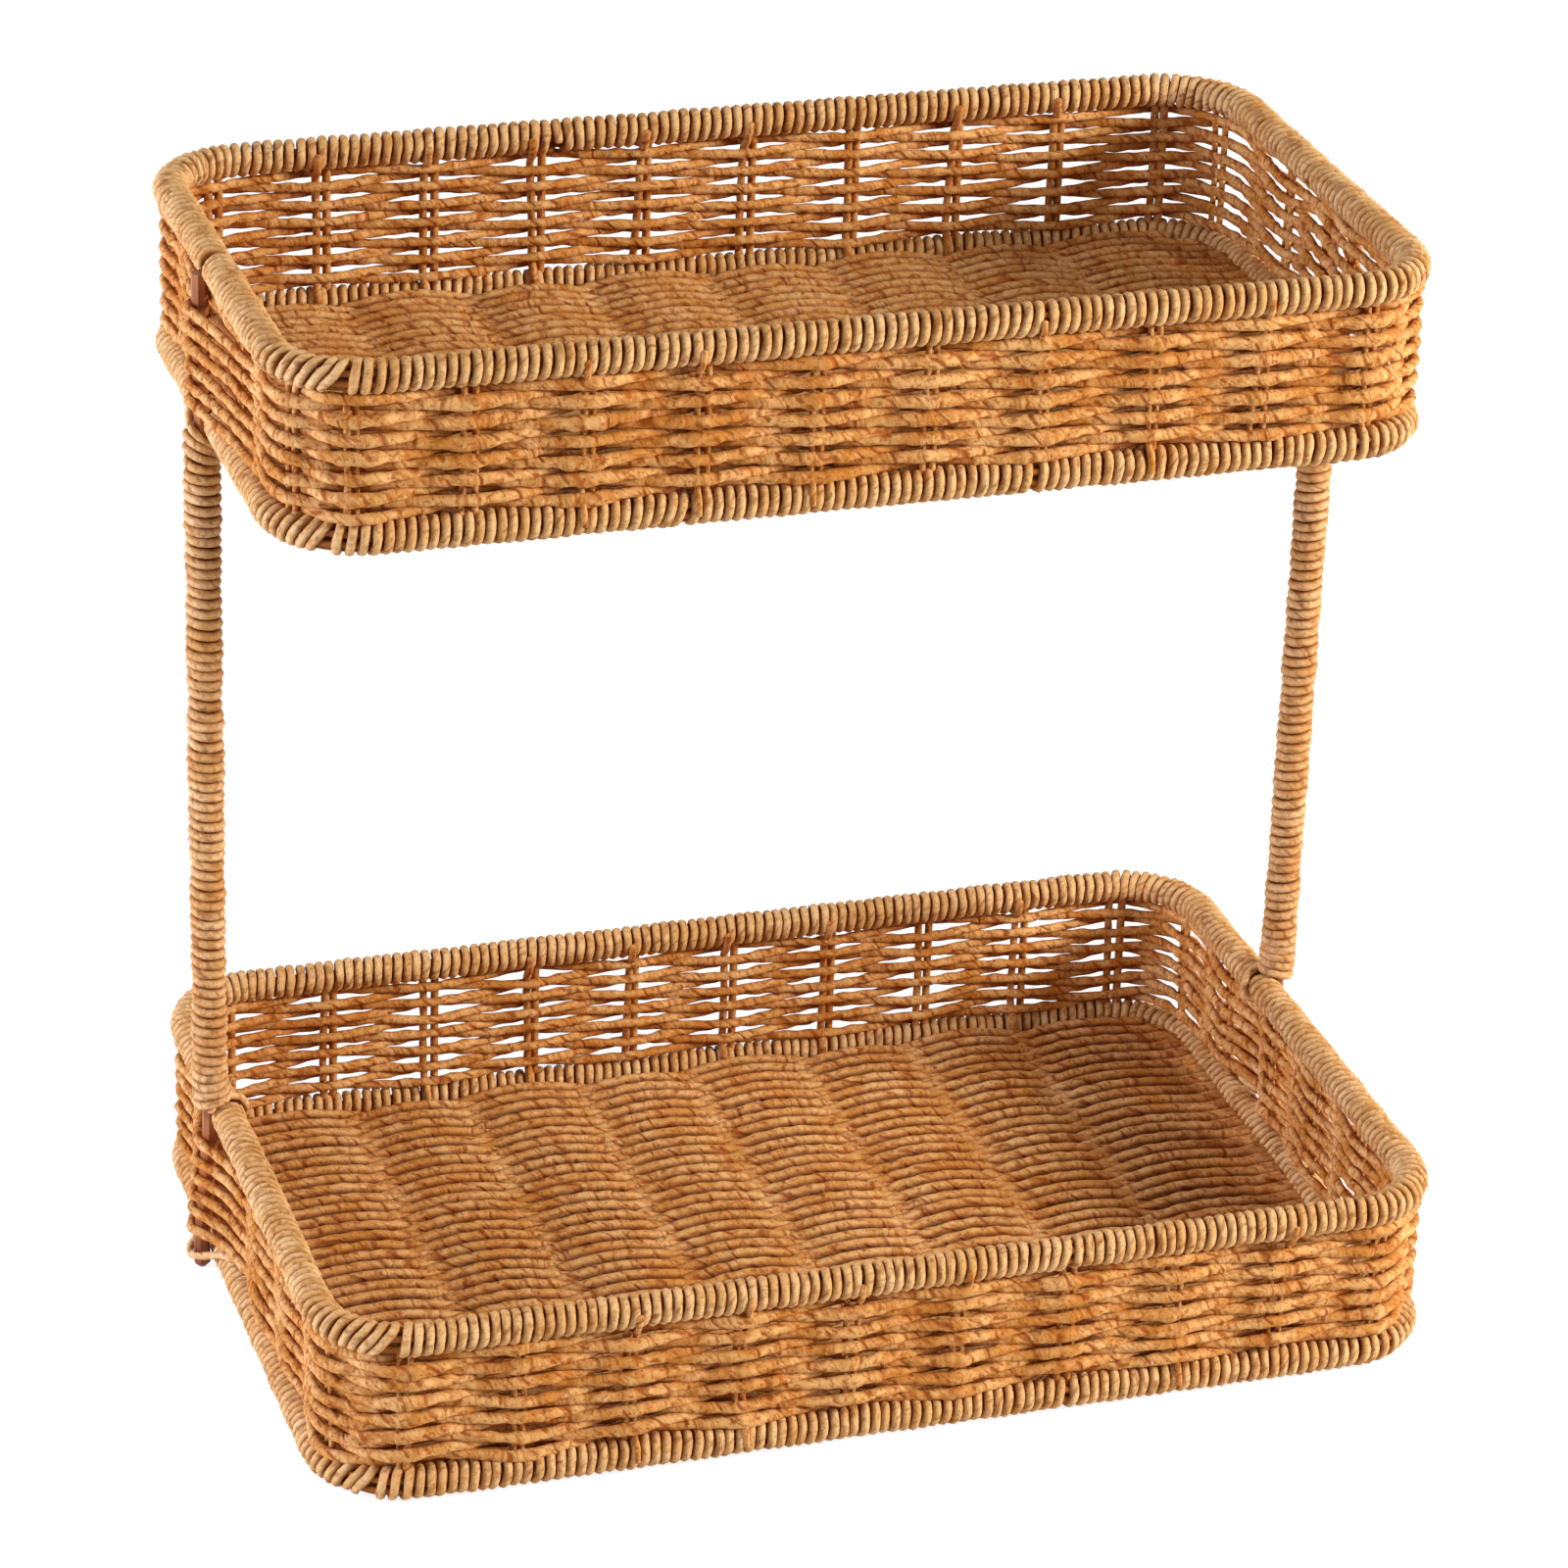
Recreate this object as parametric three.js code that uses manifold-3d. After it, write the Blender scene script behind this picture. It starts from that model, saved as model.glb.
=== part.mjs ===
// Two-tier wicker storage basket: two woven trays joined by a pair of cord-wrapped posts.
// Millimetres, +Z up. The origin is under the middle of the outline, on the surface it stands on.
import * as THREE from "three";
import { mergeVertices } from "three/addons/utils/BufferGeometryUtils.js";
import Module from "manifold-3d";

// Trays, measured to the centre lines of their rim and base rings
const LENGTH = 400;
const LOWER_DEPTH = 263;
const UPPER_DEPTH = 208;
const TRAY_HEIGHT = 56.4;
const CORNER_RADIUS = 30;
const TIER_RISE = 325;
const UPPER_SETBACK = 34;
const POST_SETBACK = 38.5;

// Wires, rods and paper cord
const RING_WIRE = 5;
const STAKE_WIRE = 2;
const RIB_WIRE = 3;
const POST_ROD = 6;
const WRAP_CORD = 3.7;
const WEAVE_CORD = 3.4;
const POST_CORD = 3.5;
const CLEARANCE = 0.3;

// Spacing of what repeats
const STAKE_COUNT = 10;
const END_STAKE_COUNT_LOWER = 6;
const END_STAKE_COUNT_UPPER = 4;
const STAKE_INSET = 22.2;
const UPPER_END_INSET = 17;
const RIB_COUNT = 8;
const RIB_INSET = 44.4;
const ROW_PITCH = 7;
const POST_WRAP_PITCH = 3.7;

// Ends of the posts and what binds them
const POST_TOP_DROP = 2;
const FOOT_LIFT = 0.3;
const FOOT_ROUND = 2;
const BINDING_HEIGHT = 10;
const BINDING_FLARE = 2;
const LASHING_SPREAD = Math.PI / 3;

// Depth of the valleys between cords, as a share of the cord that shows above the wire
const ROW_VALLEY = 0.55;
const WRAP_VALLEY = 0.7;

// Facets
const CORNER_STEPS = 3;
const WIRE_SIDES = 6;
const ROD_SIDES = 8;
const BORE_STEPS = 6;

// Sizes that follow from those above
const wrapRadius = RING_WIRE / 2 + WRAP_CORD;
const weaveHalf = STAKE_WIRE / 2 + WEAVE_CORD;
const valleyHalf = STAKE_WIRE / 2 + ROW_VALLEY * WEAVE_CORD;
const postOffset = RING_WIRE / 2 + CLEARANCE + POST_ROD / 2;
const footOffset = wrapRadius + CLEARANCE + POST_ROD / 2;
const lowerY = -(UPPER_SETBACK + (UPPER_DEPTH - LOWER_DEPTH) / 2) / 2;
const postY = lowerY + POST_SETBACK;

const lower = {
  name: "lower", depth: LOWER_DEPTH, y: lowerY,
  base: wrapRadius, rim: wrapRadius + TRAY_HEIGHT,
  endStakes: END_STAKE_COUNT_LOWER, endInset: STAKE_INSET,
};
const upper = {
  name: "upper", depth: UPPER_DEPTH, y: lowerY + UPPER_SETBACK,
  base: lower.base + TIER_RISE, rim: lower.base + TIER_RISE + TRAY_HEIGHT,
  endStakes: END_STAKE_COUNT_UPPER, endInset: UPPER_END_INSET,
};

const wasm = await Module();
wasm.setup();

const basket = new THREE.Group();

function finish(color, roughness, metalness = 0) {
  return new THREE.MeshStandardMaterial({ color, roughness, metalness });
}

function add(name, geometry, material) {
  const mesh = new THREE.Mesh(geometry, material);
  mesh.name = name;
  basket.add(mesh);
}

// Solids

function signedVolume(points, triangles) {
  const [a, b, c] = [new THREE.Vector3(), new THREE.Vector3(), new THREE.Vector3()];
  let volume = 0;
  for (let i = 0; i < triangles.length; i += 3) {
    a.fromArray(points, 3 * triangles[i]);
    b.fromArray(points, 3 * triangles[i + 1]);
    c.fromArray(points, 3 * triangles[i + 2]);
    volume += a.dot(b.cross(c)) / 6;
  }
  return volume;
}

function solid(points, triangles) {
  const facingOut = signedVolume(points, triangles) > 0 ? triangles : [...triangles].reverse();
  const geometry = new THREE.BufferGeometry();
  geometry.setAttribute("position", new THREE.Float32BufferAttribute(points, 3));
  geometry.setIndex(facingOut);
  geometry.computeVertexNormals();
  return geometry;
}

// Joins rings of matching points into a skin, closed into a loop or capped at both ends
function loft(rings, looped, capTriangles) {
  const count = rings[0].length;
  const triangles = [];
  const last = looped ? rings.length : rings.length - 1;
  for (let i = 0; i < last; i += 1) {
    const next = ((i + 1) % rings.length) * count;
    for (let j = 0; j < count; j += 1) {
      const k = (j + 1) % count;
      const here = i * count;
      triangles.push(here + j, next + j, next + k, here + j, next + k, here + k);
    }
  }
  if (!looped) {
    const end = (rings.length - 1) * count;
    for (const [a, b, c] of capTriangles) {
      triangles.push(a, b, c, end + a, end + c, end + b);
    }
  }
  return solid(rings.flat(2), triangles);
}

function toManifold(geometry) {
  const bare = geometry.clone();
  bare.deleteAttribute("normal");
  bare.deleteAttribute("uv");
  const merged = mergeVertices(bare, 1e-4);
  return new wasm.Manifold(new wasm.Mesh({
    numProp: 3,
    vertProperties: new Float32Array(merged.attributes.position.array),
    triVerts: new Uint32Array(merged.index.array),
  }));
}

function fromManifold(shape) {
  const { vertProperties, triVerts } = shape.getMesh();
  return solid(Array.from(vertProperties), Array.from(triVerts));
}

function upright(radius, low, high, x, y, sides) {
  const geometry = new THREE.CylinderGeometry(radius, radius, high - low, sides);
  geometry.rotateX(Math.PI / 2);
  geometry.translate(x, y, (low + high) / 2);
  return geometry;
}

// Circumradius of a regular prism that leaves a round bar of this radius clear
function around(radius, sides) {
  return (radius + CLEARANCE) / Math.cos(Math.PI / sides);
}

// The line that a tray's rings and wall follow: points with their outward normals

function cornerRun(tray, quarter) {
  const side = [[1, 1], [-1, 1], [-1, -1], [1, -1]][quarter];
  const x = side[0] * (LENGTH / 2 - CORNER_RADIUS);
  const y = tray.y + side[1] * (tray.depth / 2 - CORNER_RADIUS);
  return Array.from({ length: CORNER_STEPS + 1 }, (_, step) => {
    const angle = (quarter + step / CORNER_STEPS) * Math.PI / 2;
    const [nx, ny] = [Math.cos(angle), Math.sin(angle)];
    return { x: x + CORNER_RADIUS * nx, y: y + CORNER_RADIUS * ny, nx, ny };
  });
}

function endPoint(side, y, rise = 0) {
  return { x: side * LENGTH / 2, y, nx: side, ny: 0, rise };
}

function fullLoop(tray) {
  return [0, 1, 2, 3].flatMap((quarter) => cornerRun(tray, quarter));
}

function halfLoop(tray, half) {
  const gap = POST_ROD / 2 + CLEARANCE;
  if (half === "back") {
    const y = postY + gap;
    return [endPoint(1, y), ...cornerRun(tray, 0), ...cornerRun(tray, 1), endPoint(-1, y)];
  }
  const y = postY - gap;
  return [endPoint(-1, y), ...cornerRun(tray, 2), ...cornerRun(tray, 3), endPoint(1, y)];
}

// The wall's line also has points where the weave starts to rise over a post and where it is over it
function wallLoop(tray) {
  const over = POST_ROD / 2 + WEAVE_CORD;
  const clear = over + 3 * WEAVE_CORD;
  const passing = [[-clear, 0], [-over, 1], [over, 1], [clear, 0]];
  const right = passing.map(([dy, rise]) => endPoint(1, postY + dy, rise));
  const left = passing.map(([dy, rise]) => endPoint(-1, postY - dy, rise));
  return [
    ...right, ...cornerRun(tray, 0), ...cornerRun(tray, 1),
    ...left, ...cornerRun(tray, 2), ...cornerRun(tray, 3),
  ];
}

// Carries a section round a line; the section is [outward, up] pairs and may differ by station
function carry(line, height, sectionAt, looped) {
  const rings = line.map((at) => sectionAt(at).map(([out, up]) => [
    at.x + at.nx * out, at.y + at.ny * out, height + up,
  ]));
  const outline = sectionAt(line[0]).map(([out, up]) => new THREE.Vector2(out, up));
  return loft(rings, looped, THREE.ShapeUtils.triangulateShape(outline, []));
}

// Sections

function roundSection(radius, sides) {
  return Array.from({ length: sides }, (_, i) => {
    const angle = (i + 0.5) * 2 * Math.PI / sides;
    return [radius * Math.cos(angle), radius * Math.sin(angle)];
  });
}

// Corners of the wrap's eight-sided outside between two angles, in eighths of a turn
function wrapOutside(first, count) {
  const reach = wrapRadius / Math.cos(Math.PI / 8);
  return Array.from({ length: count }, (_, i) => {
    const angle = (first + i + 0.5) * Math.PI / 4;
    return [reach * Math.cos(angle), reach * Math.sin(angle)];
  });
}

function wrapBore(from, to) {
  const step = (to - from) / BORE_STEPS;
  const reach = (RING_WIRE / 2 + CLEARANCE) / Math.cos(step / 2);
  return Array.from({ length: BORE_STEPS + 1 }, (_, i) => {
    const angle = from + i * step;
    return [reach * Math.cos(angle), reach * Math.sin(angle)];
  });
}

// The rim's wrap is open below, where the stakes come up into the rim wire
function rimSection() {
  const slot = STAKE_WIRE / 2 + CLEARANCE;
  const edge = Math.asin(slot / (RING_WIRE / 2 + CLEARANCE));
  const down = -Math.PI / 2;
  return [
    [slot, -wrapRadius], ...wrapOutside(-2, 8), [-slot, -wrapRadius],
    ...wrapBore(down - edge, down - 2 * Math.PI + edge),
  ];
}

// The base's wrap is open above and inwards, where the stakes and the floor ribs meet the base wire
function baseSection() {
  const bore = RING_WIRE / 2 + CLEARANCE;
  const stakeSlot = STAKE_WIRE / 2 + CLEARANCE;
  const ribSlot = RIB_WIRE / 2 + CLEARANCE;
  return [
    [-wrapRadius, -ribSlot], ...wrapOutside(-4, 6), [stakeSlot, wrapRadius],
    ...wrapBore(Math.PI / 2 - Math.asin(stakeSlot / bore), -Math.PI + Math.asin(ribSlot / bore)),
  ];
}

function rowHeights(tray) {
  const low = wrapRadius + CLEARANCE;
  const high = tray.rim - tray.base - wrapRadius - CLEARANCE;
  const rows = Math.max(1, Math.round((high - low) / ROW_PITCH));
  return Array.from({ length: 2 * rows + 1 }, (_, i) => low + (high - low) * i / (2 * rows));
}

// How far a post's middle lies outside the rings' line, at a height
function postOut(z) {
  const low = lower.base + wrapRadius;
  const high = lower.rim - wrapRadius;
  const lean = THREE.MathUtils.clamp((high - z) / (high - low), 0, 1);
  return postOffset + (footOffset - postOffset) * lean;
}

// A wall's section, ridged by its rows of cord and swollen outwards where it passes over a post
function wallSection(tray, rise) {
  const heights = rowHeights(tray);
  const ridge = (i) => (i % 2 ? weaveHalf : valleyHalf);
  const swell = (up) => rise * (postOut(tray.base + up) + (POST_ROD - STAKE_WIRE) / 2);
  const outside = heights.map((up, i) => [ridge(i) + swell(up), up]);
  const inside = heights.map((up, i) => [-ridge(i), up]).reverse();
  return [...outside, ...inside];
}

// Stakes and ribs

// Evenly spaced places along a side, about its middle; the outermost stand in the corners
function spread(length, count, inset) {
  return Array.from({ length: count }, (_, i) => (i / (count - 1) - 1 / 2) * (length - 2 * inset));
}

function longStakes() {
  return spread(LENGTH, STAKE_COUNT, STAKE_INSET);
}

function longRibs() {
  return spread(LENGTH, RIB_COUNT, RIB_INSET);
}

// How far a tray's faceted line lies from its middle along one axis, at a distance along the other
function reachAt(tray, distance, axis) {
  const other = axis === "x" ? "y" : "x";
  const middle = { x: 0, y: tray.y };
  const run = cornerRun(tray, 0).map((at) => [at[other] - middle[other], at[axis] - middle[axis]]);
  run.sort((a, b) => a[0] - b[0]);
  const far = Math.abs(distance);
  const next = run.findIndex(([along]) => along > far);
  if (next <= 0) {
    return run[0][1];
  }
  const [[from, start], [to, end]] = [run[next - 1], run[next]];
  return start + (end - start) * (far - from) / (to - from);
}

function stakePlaces(tray) {
  const long = longStakes().flatMap((x) => {
    const reach = reachAt(tray, x, "y");
    return [[x, tray.y + reach], [x, tray.y - reach]];
  });
  const ends = spread(tray.depth, tray.endStakes, tray.endInset).flatMap((y) => {
    const reach = reachAt(tray, y, "x");
    return [[reach, tray.y + y], [-reach, tray.y + y]];
  });
  return [...long, ...ends];
}

function wireFrame(tray) {
  const ring = () => roundSection(RING_WIRE / 2, WIRE_SIDES);
  let frame = toManifold(carry(fullLoop(tray), tray.base, ring, true))
    .add(toManifold(carry(fullLoop(tray), tray.rim, ring, true)));
  for (const [x, y] of stakePlaces(tray)) {
    frame = frame.add(toManifold(upright(STAKE_WIRE / 2, tray.base, tray.rim, x, y, WIRE_SIDES)));
  }
  return fromManifold(frame);
}

function wallWeave(tray) {
  const band = carry(wallLoop(tray), tray.base, (at) => wallSection(tray, at.rise ?? 0), true);
  const channel = around(STAKE_WIRE / 2, WIRE_SIDES);
  let wall = toManifold(band);
  for (const [x, y] of stakePlaces(tray)) {
    wall = wall.subtract(toManifold(upright(channel, tray.base, tray.rim, x, y, WIRE_SIDES)));
  }
  for (const side of [1, -1]) {
    const bore = postRings(side, around(POST_ROD / 2, ROD_SIDES), tray.base, tray.rim);
    wall = wall.subtract(toManifold(bore));
  }
  return fromManifold(wall);
}

// Floors

function floorOutline() {
  const half = LENGTH / 2;
  const ridge = RIB_WIRE / 2 + WEAVE_CORD;
  const valley = ROW_VALLEY * WEAVE_CORD;
  const flat = RIB_WIRE;
  const xs = longRibs();
  const top = [[-half, valley]];
  xs.forEach((x, i) => {
    top.push([x - flat, ridge], [x + flat, ridge]);
    top.push([i + 1 < xs.length ? (x + xs[i + 1]) / 2 : half, valley]);
  });
  const bottom = top.map(([x, z]) => [x, -z]).reverse();
  const shape = new THREE.Shape([...top, ...bottom].map(([x, z]) => new THREE.Vector2(x, z)));
  const channel = roundSection(around(RIB_WIRE / 2, WIRE_SIDES), WIRE_SIDES);
  shape.holes = xs.map((x) => new THREE.Path(
    channel.map(([dx, dz]) => new THREE.Vector2(x + dx, dz)),
  ));
  return shape;
}

// The floor's ridged mat, trimmed to lie inside the base ring's wrap
function floorWeave(tray) {
  const mat = new THREE.ExtrudeGeometry(floorOutline(), { depth: tray.depth, bevelEnabled: false });
  mat.rotateX(Math.PI / 2);
  mat.translate(0, tray.y + tray.depth / 2, tray.base);
  const inset = wrapRadius + CLEARANCE;
  const edge = fullLoop(tray).map((at) => new THREE.Vector2(at.x - at.nx * inset, at.y - at.ny * inset));
  const cutter = new THREE.ExtrudeGeometry(new THREE.Shape(edge), {
    depth: 2 * wrapRadius, bevelEnabled: false,
  });
  cutter.translate(0, 0, tray.base - wrapRadius);
  return fromManifold(toManifold(mat).intersect(toManifold(cutter)));
}

function floorRib(tray, x) {
  const end = RING_WIRE / 2 / Math.cos(Math.PI / 4 / CORNER_STEPS) + CLEARANCE;
  const length = 2 * (reachAt(tray, x, "y") - end);
  const rib = new THREE.CylinderGeometry(RIB_WIRE / 2, RIB_WIRE / 2, length, WIRE_SIDES);
  rib.translate(x, tray.y, tray.base);
  return rib;
}

// Posts

// A level ring of points round a post's middle
function postRing(side, radius, z, out = postOut(z)) {
  return Array.from({ length: ROD_SIDES }, (_, i) => {
    const angle = (i + 0.5) * 2 * Math.PI / ROD_SIDES;
    return [side * (LENGTH / 2 + out) + radius * Math.cos(angle), postY + radius * Math.sin(angle), z];
  });
}

function discTriangles(count) {
  return Array.from({ length: count - 2 }, (_, i) => [0, i + 1, i + 2]);
}

function postRings(side, radius, low, high) {
  const bends = [lower.base + wrapRadius, lower.rim - wrapRadius].filter((z) => z > low && z < high);
  const rings = [low, ...bends, high].map((z) => postRing(side, radius, z));
  return loft(rings, false, discTriangles(ROD_SIDES));
}

function postRod(side) {
  const radius = POST_ROD / 2;
  const rings = [
    postRing(side, radius - FOOT_ROUND + FOOT_LIFT, FOOT_LIFT),
    postRing(side, radius, FOOT_ROUND),
    postRing(side, radius, lower.base + wrapRadius),
    postRing(side, radius, lower.rim - wrapRadius),
    postRing(side, radius, upper.rim - POST_TOP_DROP),
  ];
  return loft(rings, false, discTriangles(ROD_SIDES));
}

// A sleeve on a post: rings up the outside and back down the bore
function postSleeve(side, outside) {
  const bore = around(POST_ROD / 2, ROD_SIDES);
  const rings = [
    ...outside.map(([z, radius]) => postRing(side, radius, z, postOffset)),
    postRing(side, bore, outside.at(-1)[0], postOffset),
    postRing(side, bore, outside[0][0], postOffset),
  ];
  return loft(rings, true);
}

function bindingSpan() {
  const low = lower.rim + wrapRadius + CLEARANCE;
  return [low, low + BINDING_HEIGHT];
}

function postBinding(side) {
  const [low, high] = bindingSpan();
  const radius = POST_ROD / 2 + POST_CORD;
  return postSleeve(side, [[low, radius + BINDING_FLARE], [high, radius]]);
}

function postWrap(side) {
  const low = bindingSpan()[1] + CLEARANCE;
  const high = upper.base - wrapRadius - CLEARANCE;
  const ridge = POST_ROD / 2 + POST_CORD;
  const valley = POST_ROD / 2 + WRAP_VALLEY * POST_CORD;
  const turns = Math.max(1, Math.round((high - low) / POST_WRAP_PITCH));
  const outside = Array.from({ length: 2 * turns + 1 }, (_, i) => [
    low + (high - low) * i / (2 * turns), i % 2 ? ridge : valley,
  ]);
  return postSleeve(side, outside);
}

// The lashing that holds a post against the upper base ring, over the outside of the rod
function postLashing(side) {
  const bore = POST_ROD / 2 + CLEARANCE;
  const reach = bore + POST_CORD;
  const middle = side > 0 ? 0 : Math.PI;
  const shape = new THREE.Shape();
  shape.absarc(0, 0, reach, middle - LASHING_SPREAD, middle + LASHING_SPREAD, false);
  shape.absarc(0, 0, bore, middle + LASHING_SPREAD, middle - LASHING_SPREAD, true);
  const geometry = new THREE.ExtrudeGeometry(shape, {
    depth: 2 * wrapRadius, curveSegments: WIRE_SIDES, bevelEnabled: false,
  });
  geometry.translate(side * (LENGTH / 2 + postOffset), postY, upper.base - wrapRadius);
  return geometry;
}

// Finishes
const paintedWire = finish(0x5b3a26, 0.5, 0.3);
const wrapFinish = finish(0xd9b483, 0.85);
const weaveFinish = finish(0xc48d55, 0.9);
const floorFinish = finish(0xbb7f47, 0.9);
const postFinish = finish(0xc79a63, 0.85);

function addTray(tray) {
  add(`${tray.name}_wire_frame`, wireFrame(tray), paintedWire);
  for (const half of ["front", "back"]) {
    const wrap = carry(halfLoop(tray, half), tray.rim, rimSection, false);
    add(`${tray.name}_rim_wrap_${half}`, wrap, wrapFinish);
  }
  add(`${tray.name}_wall_weave`, wallWeave(tray), weaveFinish);
  add(`${tray.name}_floor_weave`, floorWeave(tray), floorFinish);
  longRibs().forEach((x, i) => {
    add(`${tray.name}_floor_rib_${i + 1}`, floorRib(tray, x), paintedWire);
  });
}

addTray(lower);
addTray(upper);
add("lower_base_wrap", carry(fullLoop(lower), lower.base, baseSection, true), wrapFinish);
for (const half of ["front", "back"]) {
  const wrap = carry(halfLoop(upper, half), upper.base, baseSection, false);
  add(`upper_base_wrap_${half}`, wrap, wrapFinish);
}
for (const [side, name] of [[-1, "left"], [1, "right"]]) {
  add(`${name}_post_rod`, postRod(side), paintedWire);
  add(`${name}_post_wrap`, postWrap(side), postFinish);
  add(`${name}_post_binding`, postBinding(side), postFinish);
  add(`${name}_post_lashing`, postLashing(side), wrapFinish);
}

export default basket;
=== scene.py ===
"""A two-tier basket: trays woven from twisted paper cord on painted steel wire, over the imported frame.

Everything is in metres, +Z up, in the frame's own axes. Lengths below are written in millimetres, times MM.
"""

import math

import bpy
import numpy as np
from mathutils import Matrix, Vector


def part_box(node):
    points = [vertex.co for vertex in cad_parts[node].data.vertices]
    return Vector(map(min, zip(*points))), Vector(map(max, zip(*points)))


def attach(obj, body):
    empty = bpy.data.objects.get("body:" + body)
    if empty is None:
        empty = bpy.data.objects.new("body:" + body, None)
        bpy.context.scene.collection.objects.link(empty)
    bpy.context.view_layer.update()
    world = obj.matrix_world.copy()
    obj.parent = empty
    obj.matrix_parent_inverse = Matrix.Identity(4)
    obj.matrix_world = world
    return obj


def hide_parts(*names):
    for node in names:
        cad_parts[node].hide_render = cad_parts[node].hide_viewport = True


MM = 0.001
UP = np.array([0, 0, 1.0])

# Keeps a length of nothing from being divided by
TINY = 1e-12

# Wires, rods and cords
RING_WIRE = 5 * MM
POST_ROD = 6 * MM
WRAP_REACH = 6.2 * MM
WRAP_CORD = 3.5 * MM
WEAVE_CORD = 3.5 * MM
FLOOR_CORD = 4.1 * MM
POST_CORD = 3.6 * MM
LOOSE_CORD = 2.8 * MM
TAIL_CORD = 2.4 * MM
CORNER_RADIUS = 30 * MM
CORNER_FACETS = 3
CORNER_STEPS = 30
WIRE_SIDES = 6
ROD_SIDES = 8

# Strands of cord: the sides of a section, the length of a twist and, in radii, how deep it is
SIDES = 8
ANGLES = np.arange(SIDES) * 2 * math.pi / SIDES
TWIST_LENGTH = 9 * MM
TWIST_DEPTH = 0.06

# The map along strands is in centimetres, and each strand starts on it somewhere from 0 to this
CENTIMETRE = 0.01
MAP_STARTS = 100

# How flat turns get where they press against each other: 1 for round, and less for flatter
PRESSED = 0.85

# A strand's rounded ends, in radii: how far past it the shoulder and the tip lie, and how wide they are
END_PLACES = (0.45, 0.75)
END_WIDTHS = (0.88, 0.5)

# Tints: the higher, the paler
MEAN_TINT = 0.5
TINT_SPREAD = 0.25
TINT_RUN = 9 * MM
TINT_WAVES = (5, 90)
TAIL_TINT = 0.2
LEG_TINT = 0.4
FOOT_TINT = 0.7
SLIT_TINT = 0.9

# Winding on the rings. Its ends run on past the outside of the ring by parts of a turn
WRAP_PITCH = {
    "upper_rim": 3.92 * MM, "lower_rim": 3.76 * MM, "upper_base": 3.82 * MM, "lower_base": 3.8 * MM,
}
TURN_POINTS = 14
TURN_WANDER = 0.2 * MM
TURN_SWELL = 0.15 * MM
LEAD_IN = 0.25
LEAD_OUT = 0.5

# Where a winding is parted: place along the front or back, gap, and lean of the cord before it, in mm
FRONT_BREAKS = {
    "upper_rim": ((-181, 1.6, 3.0), (56, 1.6, 0.9)),
    "upper_base": ((-185, 1.2, 2.6), (-66, 1.0, 1.3), (55, 2.2, 0.5), (168, 0.4, 0.3)),
    "lower_rim": ((-179, 1.6, 3.0), (61, 1.2, 1.0)),
    "lower_base": ((-185, 1.2, 2.6), (62, 1.5, 0.8), (184, 1.2, 0.6)),
}
BACK_BREAKS = {"upper_rim": ((-55, 0.6, 0.8),), "upper_base": (), "lower_rim": (), "lower_base": ()}
LEAN_LENGTH = 15 * MM
LEAN_ROOM = 0.7
TAIL_LENGTH = 16 * MM
TAIL_POINTS = 12
TAIL_ANGLES = (-75, -20, 35, 90, 145)

# Where a rod parts a ring's winding: width of the slit at the left and the right rod
SLITS = {"upper_rim": (3.5 * MM, 0.3 * MM), "upper_base": (2 * MM, 2 * MM), "lower_rim": (2 * MM, 2 * MM)}
ROD_CLEARANCE = 4.6 * MM
SQUEEZE_LENGTH = 18 * MM

# Walls, in plain weave: strands pass outside and inside of the stakes by turns
STRANDS = 13
FIRST_STRAND = 7.7 * MM
STRAND_PITCH = 3.42 * MM
WALL_REACH = 3.15 * MM
WALL_STEP = 1.6 * MM

# How far strands wander up and down: all together, each at its crossings, and each between them
WALL_WAVE = {"lower": 0.9 * MM, "upper": 0.45 * MM}
WALL_WAVES = (3, 22)
CREST_SHIFT = {"lower": 0.55 * MM, "upper": 0.35 * MM}
MOST_SHIFT = 1.2 * MM
MIDDLE_SHIFT = 0.2 * MM

# How straight strands run from crossing to crossing, 1 for a straight line, and how their girth varies
STRAIGHT = 0.85
STRAIGHT_AT_POST = 0.95
GIRTH_SPREAD = 0.06
GIRTH_WAVES = (20, 160)

# Whether strands take turns at the rods too, and how many at the top pass inside of them in any case
COUNTS_POSTS = {"lower": True, "upper": False}
TOP_INSIDE = {"lower": 0, "upper": 2}

# On the front, strands are thicker and, where they pass outside, also taller by a share in this range
FRONT_THICKER = 0.1
FRONT_SPREAD = (0.1, 0.6)
FRONT_FACING = 0.7

# Stakes: a wire in a paper leg, and a second leg beside it, by the way they face: 1 out, -1 into the tray
STAKE_COUNT = 10
STAKE_INSET = 22.2 * MM
END_STAKES = {"lower": 6, "upper": 4}
END_INSETS = {"lower": 22.2 * MM, "upper": 17 * MM}
LEG_CORD = {1: 2.4 * MM, -1: 3.2 * MM}
# Painted shade on the legs: none where they face out, some where they face into the tray
LEG_SHADE = {1: 0, -1: 0.4}
LEG_SIDES = {"lower": {1: 1, -1: 1}, "upper": {1: 1, -1: -1}}
LEG_POINTS = 16
SECOND_LEG_POINTS = 40
SECOND_THINNER = 0.95

# How far apart a stake's legs stand, and how the second one strays
LEG_SPREAD = 3.6 * MM
LEG_WANDER = 0.6 * MM
MOST_NEARER = 0.8 * MM
LEG_BEND = 0.3 * MM
LEG_BEND_RUN = 9 * MM

# A second leg's end, in mm outward of a ring's line and in from its level, and the share that are hooked
HOOK_OUT = WRAP_REACH / MM - 0.4
PLAIN_END = ((0.3, 2), (0.3, 12))
HOOKED_END = ((HOOK_OUT, -0.5), (HOOK_OUT - 0.3, 2.5), (4.2, 5.4), (1, 8), (0.3, 13))
HOOKED_AT_BASE = 0.5
HOOKED_AT_RIM = 0.75

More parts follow.
